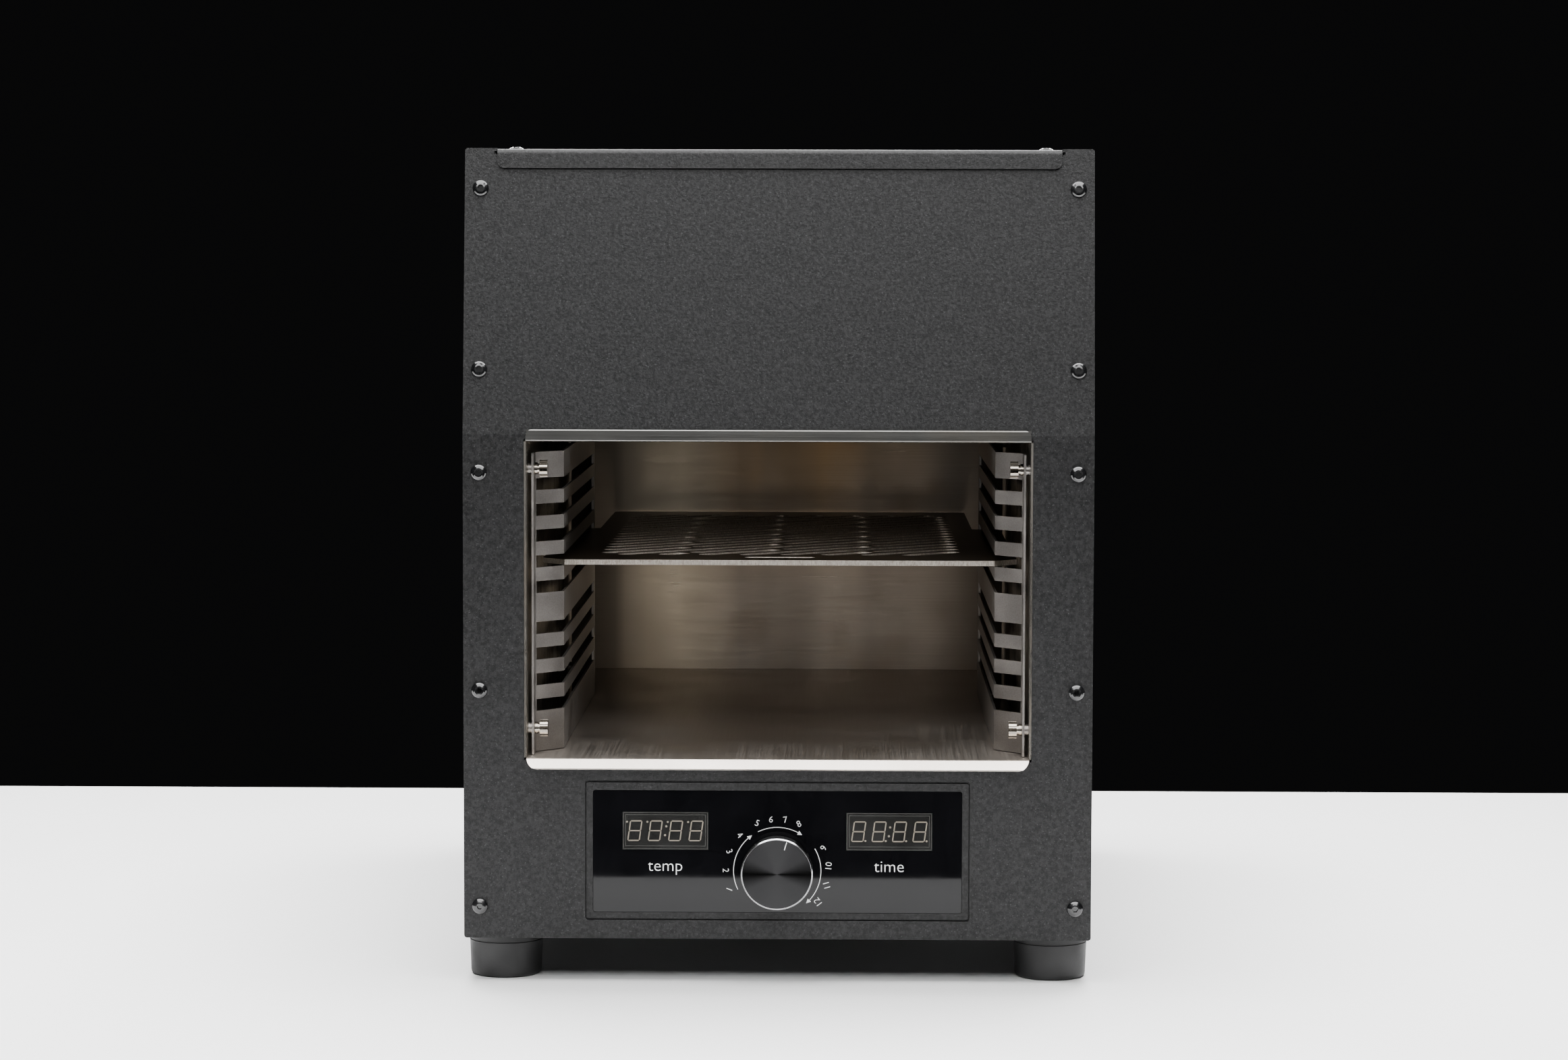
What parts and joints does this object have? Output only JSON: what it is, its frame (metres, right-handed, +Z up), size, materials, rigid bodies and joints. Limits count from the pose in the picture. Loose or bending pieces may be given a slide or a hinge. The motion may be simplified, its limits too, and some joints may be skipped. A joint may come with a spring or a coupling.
{
  "type": "open-front tray oven",
  "caption": "Small upright countertop appliance with an open stainless cavity, slotted side racks, a perforated slide-in tray and a glass control strip with a knob and two digital displays.",
  "frame": {"origin": "bottom centre of the whole part's box, on the table under the middle of the case", "axes": "+Z up; the open front and the knob face -Y; +Y runs to the back; +X is the right side seen from the front"},
  "size_m": [0.31, 0.4636, 0.4133],
  "materials": {
    "case_coat": "fine powder coat, low sheen",
    "black_screws": "black oxide, satin",
    "foot_rubber": "satin moulded",
    "zinc_steel": "zinc-plated, satin",
    "cavity_steel": "polished, tinted by heat",
    "rack_steel": "satin",
    "screw_nickel": "bright nickel, knurled",
    "tray_steel": "satin, cut edges bright",
    "element_sheath": "dark oxidised",
    "white_ceramic": "matte",
    "fibre_blanket": "soft fibre",
    "control_glass": "black, glossy",
    "display_plastic": "smoked, glossy",
    "circuit_board": "solder mask",
    "white_plastic": "matte",
    "knob_black": "spun and black anodised",
    "knob_bright": "bright cut",
    "black_plastic": "fine grained",
    "pin_brass": "plated",
    "sink_aluminium": "extruded",
    "wire_sleeve": "silicone sleeve"
  },
  "bodies": {
    "case": {"front_panel": "case_coat", "left_side_panel": "case_coat", "right_side_panel": "case_coat", "top_cover": "case_coat", "base_plate": "case_coat", "rear_panel": "case_coat", "front_screws": "black_screws", "cover_screws": "black_screws", "rear_screws": "black_screws", "base_screws": "black_screws", "foot_front_left": "foot_rubber", "foot_front_right": "foot_rubber", "foot_rear_left": "foot_rubber", "foot_rear_right": "foot_rubber", "foot_screws": "zinc_steel", "cavity_floor": "cavity_steel", "cavity_ceiling": "cavity_steel", "cavity_back": "cavity_steel", "cavity_left_wall": "cavity_steel", "cavity_right_wall": "cavity_steel", "cavity_supports": "zinc_steel", "left_rack": "rack_steel", "right_rack": "rack_steel", "rack_spacers": "rack_steel", "rack_nuts": "zinc_steel", "heater_reflector": "cavity_steel", "heating_elements": "element_sheath", "element_brackets": "cavity_steel", "element_bushings": "white_ceramic", "heater_insulation": "fibre_blanket", "heater_cover": "zinc_steel", "temperature_probe": "element_sheath", "control_frame": "case_coat", "control_glass": "control_glass", "temperature_display": "display_plastic", "time_display": "display_plastic", "control_board": "circuit_board", "board_standoffs": "zinc_steel", "rotary_body": "zinc_steel", "mains_inlet": "black_plastic", "inlet_pins": "pin_brass", "switch_housing": "black_plastic", "power_board": "circuit_board", "heat_sink": "sink_aluminium", "heater_relay": "white_plastic", "fan_frame": "black_plastic", "fan_guard": "zinc_steel", "wiring": "wire_sleeve"},
    "tray": {"slotted_tray": "tray_steel"},
    "press_carrier": {"press_plunger": "white_plastic"},
    "knob": {"control_shaft": "zinc_steel", "control_knob": "knob_black", "knob_ring": "knob_bright"},
    "fan": {"fan_rotor": "black_plastic"},
    "rocker": {"power_rocker": "black_plastic"},
    "fuse_tray": {"fuse_drawer": "black_plastic"},
    "screw_upper_left": {"thumb_screw_upper_left": "screw_nickel"},
    "screw_lower_left": {"thumb_screw_lower_left": "screw_nickel"},
    "screw_upper_right": {"thumb_screw_upper_right": "screw_nickel"},
    "screw_lower_right": {"thumb_screw_lower_right": "screw_nickel"}
  },
  "joints": [
    {"name": "tray_slide", "type": "slide", "parent": "case", "child": "tray", "axis": [0, -1, 0], "range_m": [0, 0.38]},
    {"name": "knob_press", "type": "slide", "parent": "case", "child": "press_carrier", "axis": [0, 1, 0], "range_m": [0, 0.0008], "stiffness_N_per_m": 1500, "springref_m": -0.001},
    {"name": "knob_turn", "type": "hinge", "parent": "press_carrier", "child": "knob", "pos_m": [0, -0.225, 0.0558], "axis": [0, -1, 0], "range_deg": [-118, 132]},
    {"name": "fan_spin", "type": "hinge", "parent": "case", "child": "fan", "pos_m": [0, 0.2135, 0.364], "axis": [0, 1, 0], "continuous": true},
    {"name": "power_switch", "type": "hinge", "parent": "case", "child": "rocker", "pos_m": [-0.038, 0.2184, 0.066], "axis": [-1, 0, 0], "range_deg": [0, 16]},
    {"name": "fuse_slide", "type": "slide", "parent": "case", "child": "fuse_tray", "axis": [0, 1, 0], "range_m": [0, 0.018]},
    {"name": "thumb_screw_upper_left_out", "type": "slide", "parent": "case", "child": "screw_upper_left", "axis": [1, 0, 0], "range_m": [0, 0.005]},
    {"name": "thumb_screw_lower_left_out", "type": "slide", "parent": "case", "child": "screw_lower_left", "axis": [1, 0, 0], "range_m": [0, 0.005]},
    {"name": "thumb_screw_upper_right_out", "type": "slide", "parent": "case", "child": "screw_upper_right", "axis": [-1, 0, 0], "range_m": [0, 0.005]},
    {"name": "thumb_screw_lower_right_out", "type": "slide", "parent": "case", "child": "screw_lower_right", "axis": [-1, 0, 0], "range_m": [0, 0.005]}
  ]
}
